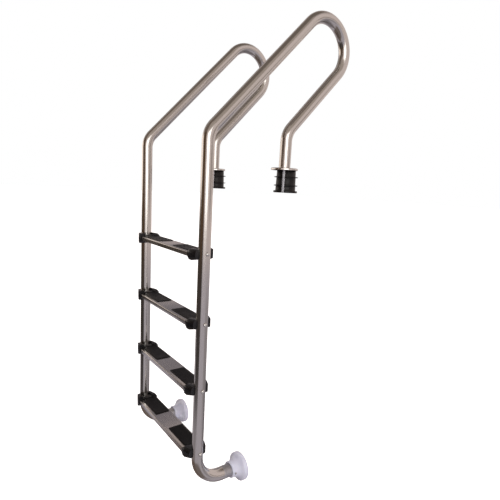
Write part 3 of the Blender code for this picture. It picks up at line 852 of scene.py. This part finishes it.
SLEEVE_TOP_R = 0.0352
SLEEVE_SPREAD = 0.0026
SLEEVE_BORE_R = 0.0221
FIN_LEVELS = (-0.0250, -0.0560)
FIN_R = 0.0446
RIM_R = 0.0450
RIM_HEIGHT = 0.008
SLIT_HALF = 0.0055
SLIT_BEARING = math.radians(-42.0)

COVER_HOLE_R = 0.0226
COVER_SHEET = 0.0012
COVER_EDGE_R = 0.0035


def sleeve_mesh():
    """Tapered, finned and split anchor sleeve with an off-centre bore."""
    top, bottom = SLEEVE_HIGH.z, SLEEVE_LOW.z
    rim_top = bottom + RIM_HEIGHT

    def radius(z):
        return SLEEVE_TOP_R + SLEEVE_SPREAD * (z - top) / (rim_top - top)

    profile = [(SLEEVE_TOP_R - 0.0018, top), (SLEEVE_TOP_R - 0.0006, top - 0.0003)]
    profile += [(SLEEVE_TOP_R, top - 0.0012)]
    for level in FIN_LEVELS:
        root = radius(level) + 0.0004
        profile += [(radius(level + 0.0030), level + 0.0030), (root, level + 0.0022)]
        profile += [(FIN_R - 0.0008, level + 0.0014), (FIN_R, level + 0.0008)]
        profile += [(FIN_R, level - 0.0008), (FIN_R - 0.0008, level - 0.0014)]
        profile += [(root, level - 0.0022), (radius(level - 0.0030), level - 0.0030)]
    profile += [(0.0378, rim_top + 0.0008), (0.0384, rim_top)]
    profile += [(RIM_R - 0.0012, rim_top - 0.0006), (RIM_R - 0.0003, rim_top - 0.0012)]
    profile += [(RIM_R, rim_top - 0.0024), (RIM_R, bottom + 0.0018)]
    profile += [(RIM_R - 0.0004, bottom + 0.0006), (RIM_R - 0.0015, bottom)]
    body = lathe(profile, 80, False)
    middle = (SLEEVE_LOW + SLEEVE_HIGH) / 2.0
    body.transform(Matrix.Translation((0.0, middle.y, 0.0)))
    sleeve = add("sleeve", body)
    below, above = bottom - 0.01, top + 0.01
    combine(sleeve, round_bar(SLEEVE_BORE_R, below, above, 72), "DIFFERENCE")
    slot = [(-SLIT_HALF, below), (SLIT_HALF, below), (SLIT_HALF, above), (-SLIT_HALF, above)]
    slit = prism(slot, 0.010, 0.070)
    slit.transform(Matrix.Rotation(SLIT_BEARING, 4, "Z"))
    combine(sleeve, slit, "DIFFERENCE")
    smooth(sleeve.data, 38.0)
    return taken(sleeve)


def cover_mesh():
    """Pressed cover ring with a rolled hole edge and a short skirt."""
    height = COVER_HIGH.z - COVER_LOW.z
    wide = (COVER_HIGH.x - COVER_LOW.x) / 2.0
    sheet, r = COVER_SHEET, COVER_EDGE_R
    profile = [(COVER_HOLE_R, height - sheet), (COVER_HOLE_R, height - 0.0004)]
    profile += [(COVER_HOLE_R + 0.0004, height)]
    profile += arc((wide - r, height - r), r, math.pi / 2, 0.0, math.radians(10))
    profile += [(wide, 0.0004), (wide - 0.0004, 0.0), (wide - sheet, 0.0002)]
    inner = r - sheet
    fold = (wide - sheet - inner, height - sheet - inner)
    profile += arc(fold, inner, 0.0, math.pi / 2, math.radians(15))
    mesh = lathe(profile, 96, True)
    smooth(mesh, 40.0)
    return mesh


def build_anchors():
    sleeve, cover = sleeve_mesh(), cover_mesh()
    for label, side in SIDES.items():
        place = (side * RAIL_X, 0.0, 0.0)
        piece = placed("socket_sleeve_" + label, sleeve, place, False)
        finish(piece, "sleeve", "ladder", "anchor_sleeve_" + label)
        piece = placed("cover_ring_" + label, cover, place, False)
        finish(piece, "cover", "cover_" + label, "deck_cover_" + label)


# ----------------------------------------------------------------------- stage


def window(tree, value, low, high, soft):
    """1 between low and high, falling smoothly to 0 over soft at both ends."""
    parts = []
    for start, end in ((low - soft, low), (high, high + soft)):
        node = tree.nodes.new("ShaderNodeMapRange")
        node.interpolation_type = "SMOOTHSTEP"
        node.inputs["From Min"].default_value = start
        node.inputs["From Max"].default_value = end
        tree.links.new(value, node.inputs["Value"])
        parts.append(node)
    parts[1].inputs["To Min"].default_value = 1.0
    parts[1].inputs["To Max"].default_value = 0.0
    product = tree.nodes.new("ShaderNodeMath")
    product.operation = "MULTIPLY"
    tree.links.new(parts[0].outputs[0], product.inputs[0])
    tree.links.new(parts[1].outputs[0], product.inputs[1])
    return product.outputs[0]


# Each studio panel: bearing range, height range, softness (all in degrees), colour.
# Bearings count anticlockwise from +X turned by PANEL_BEARING. Later panels cover earlier ones.
PANELS = (
    (-180, 180, -90, -13, 6, (0.51, 0.475, 0.52)),
    (62, 150, -27, -19, 8, (0.36, 0.33, 0.345)),
    (92, 180, -90, -30, 8, (0.24, 0.22, 0.24)),
    (-180, 180, 66, 90, 30, (0.20, 0.165, 0.14)),
    (-40, 46, 36, 62, 7, (0.47, 0.40, 0.35)),
    (-112, -48, 22, 62, 8, (0.20, 0.155, 0.125)),
    (160, 180, 14, 37, 4, (0.25, 0.23, 0.25)),
    (-180, -154, 14, 37, 4, (0.25, 0.23, 0.25)),
    (-150, -118, 26, 46, 6, (0.40, 0.365, 0.33)),
    (160, 180, -6, 10, 5, (0.54, 0.465, 0.445)),
    (-180, -154, -6, 10, 5, (0.54, 0.465, 0.445)),
    (58, 92, -2, 4, 3, (0.40, 0.345, 0.315)),
    (-50, 48, -90, -44, 6, (0.21, 0.175, 0.16)),
    (-152, -50, -90, -38, 6, (0.17, 0.13, 0.11)),
    (-104, -32, -27, -5, 7, (0.055, 0.048, 0.045)),
    (-144, -94, -18, -5, 6, (0.060, 0.048, 0.038)),
    (-86, -44, -5, 26, 9, (0.115, 0.068, 0.036)),
    (-152, -106, 1, 13, 5, (1.50, 1.32, 1.16)),
    (-12, 24, -2, 25, 5, (2.5, 2.45, 2.36)),
)
SIDE_COLOUR = (0.79, 0.685, 0.65)
PANEL_BEARING = -31.0
FLOOR_HALF = 60.0
FLOOR_BELOW = 0.25

CAMERA_AT = (1.48834, -1.06882, -0.06651)
CAMERA_YAW, CAMERA_PITCH, CAMERA_ROLL = 54.0798, 10.1069, 2.9554
CAMERA_SHIFT_X, CAMERA_SHIFT_Y = 0.01495, 0.02363
SENSOR_WIDTH = 36.0
CAMERA_FOCAL = 423.84268 / 500.0 * SENSOR_WIDTH


def build_world():
    """White studio to the eye, with soft panels for the steel to mirror."""
    world = bpy.data.worlds.new("studio")
    bpy.context.scene.world = world
    world.use_nodes = True
    tree = world.node_tree
    nodes, links = tree.nodes, tree.links
    background = nodes["Background"]
    source = nodes.new("ShaderNodeTexCoord")
    spin = nodes.new("ShaderNodeMapping")
    spin.vector_type = "POINT"
    spin.inputs["Rotation"].default_value = (0.0, 0.0, math.radians(-PANEL_BEARING))
    links.new(source.outputs["Generated"], spin.inputs["Vector"])
    split = nodes.new("ShaderNodeSeparateXYZ")
    links.new(spin.outputs["Vector"], split.inputs["Vector"])

    def math_node(operation, *values):
        node = nodes.new("ShaderNodeMath")
        node.operation = operation
        for socket, value in zip(node.inputs, values):
            links.new(value, socket)
        return node.outputs[0]

    def mixed(weight, below, above):
        node = nodes.new("ShaderNodeMix")
        node.data_type = "RGBA"
        links.new(weight, node.inputs["Factor"])
        links.new(below, node.inputs["A"])
        node.inputs["B"].default_value = (*above, 1.0)
        return node.outputs["Result"]

    bearing = math_node("DEGREES", math_node("ARCTAN2", split.outputs["Y"], split.outputs["X"]))
    height = math_node("DEGREES", math_node("ARCSINE", split.outputs["Z"]))
    colour = nodes.new("ShaderNodeRGB")
    colour.outputs[0].default_value = (*SIDE_COLOUR, 1.0)
    current = colour.outputs[0]
    for left, right, low, high, soft, value in PANELS:
        weight = window(tree, height, low, high, soft)
        if right - left < 360:
            weight = math_node("MULTIPLY", weight, window(tree, bearing, left, right, soft))
        current = mixed(weight, current, value)
    path = nodes.new("ShaderNodeLightPath")
    white = mixed(path.outputs["Is Camera Ray"], current, (1.0, 1.0, 1.0))
    links.new(white, background.inputs["Color"])
    background.inputs["Strength"].default_value = 1.0


def build_floor():
    """Plain pale floor well below the ladder, which hangs from the deck."""
    n = Nodes("floor_look")
    grain = n.noise(n.coords("Object"), 3.0)
    n.put("Base Color", n.ramp(grain, [(0.3, (0.90, 0.90, 0.90)), (0.7, (0.93, 0.93, 0.93))]))
    n.put("Roughness", 0.9)
    n.put("Specular IOR Level", 0.1)
    n.put("Emission Color", (1.0, 1.0, 1.0, 1.0))
    n.put("Emission Strength", 1.0)
    bm = bmesh.new()
    bmesh.ops.create_grid(bm, x_segments=1, y_segments=1, size=FLOOR_HALF)
    floor = add("floor", mesh_from(bm, "floor"))
    floor.data.materials.append(n.material)
    floor.location = (0.0, 0.0, CAD_BOX[0].z - FLOOR_BELOW)
    floor.visible_glossy = False
    floor.visible_diffuse = False


LIGHTS = (
    # name, place, target, width, power
    ("key", (2.2, -1.6, 1.8), (0, -0.2, -0.3), 1.6, 34.0),
    ("fill", (-1.8, -1.8, 0.8), (0, -0.2, -0.3), 2.0, 12.0),
    ("back", (0.6, 2.4, 1.4), (0, -0.2, -0.4), 2.0, 14.0),
)


def area_light(name, location, target, size, power):
    """Round soft light, aimed at a point and not mirrored in the steel."""
    light = bpy.data.lights.new(name, "AREA")
    light.shape = "DISK"
    light.size = size
    light.energy = power
    obj = add(name, light)
    obj.location = location
    obj.rotation_euler = (Vector(target) - Vector(location)).to_track_quat("-Z", "Y").to_euler()
    obj.visible_glossy = False
    return obj


def build_camera():
    yaw, pitch, roll = (math.radians(a) for a in (CAMERA_YAW, CAMERA_PITCH, CAMERA_ROLL))
    forward = Vector((
        -math.sin(yaw) * math.cos(pitch),
        math.cos(yaw) * math.cos(pitch),
        -math.sin(pitch),
    ))
    level_right = forward.cross(Vector((0, 0, 1))).normalized()
    level_up = level_right.cross(forward)
    right = level_right * math.cos(roll) + level_up * math.sin(roll)
    up = level_up * math.cos(roll) - level_right * math.sin(roll)
    data = bpy.data.cameras.new("camera")
    data.sensor_width = SENSOR_WIDTH
    data.lens = CAMERA_FOCAL
    data.shift_x = CAMERA_SHIFT_X
    data.shift_y = CAMERA_SHIFT_Y
    data.clip_start = 0.01
    camera = add("camera", data)
    turn = Matrix((right, up, -forward)).transposed().to_4x4()
    camera.matrix_world = Matrix.Translation(CAMERA_AT) @ turn
    bpy.context.scene.camera = camera


def build_stage():
    build_world()
    build_floor()
    for light in LIGHTS:
        area_light(*light)
    build_camera()
    bpy.context.scene.view_settings.view_transform = "Standard"


build_rails()
build_steps()
build_feet()
build_anchors()
build_stage()
